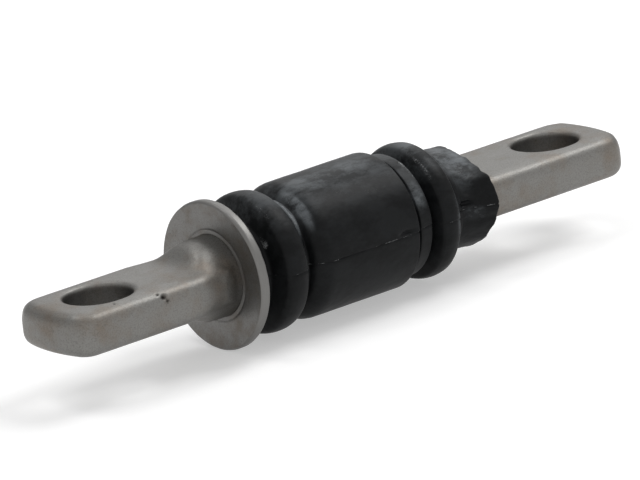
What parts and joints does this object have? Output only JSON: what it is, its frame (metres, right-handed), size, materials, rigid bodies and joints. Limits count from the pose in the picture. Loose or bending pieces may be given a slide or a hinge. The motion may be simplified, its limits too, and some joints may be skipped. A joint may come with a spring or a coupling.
{
  "type": "rubber metal bush",
  "caption": "Suspension bush: forged steel shaft with slotted flat ends, a pressed stop washer and a ribbed rubber sleeve.",
  "frame": {"origin": "middle of the shaft's length, on its axis", "axes": "+X along the shaft, away from the stop washer; +Z along the bolts through the paddles' slots"},
  "size_m": [0.172, 0.0362, 0.0362],
  "materials": {
    "forged_steel": "blasted forging, satin",
    "pressed_steel": "pressed sheet, satin",
    "moulded_rubber": "moulded, semi-matte"
  },
  "bodies": {
    "root": {"inner_shaft": "forged_steel", "stop_washer": "pressed_steel", "rubber_bush": "moulded_rubber"}
  },
  "joints": []
}
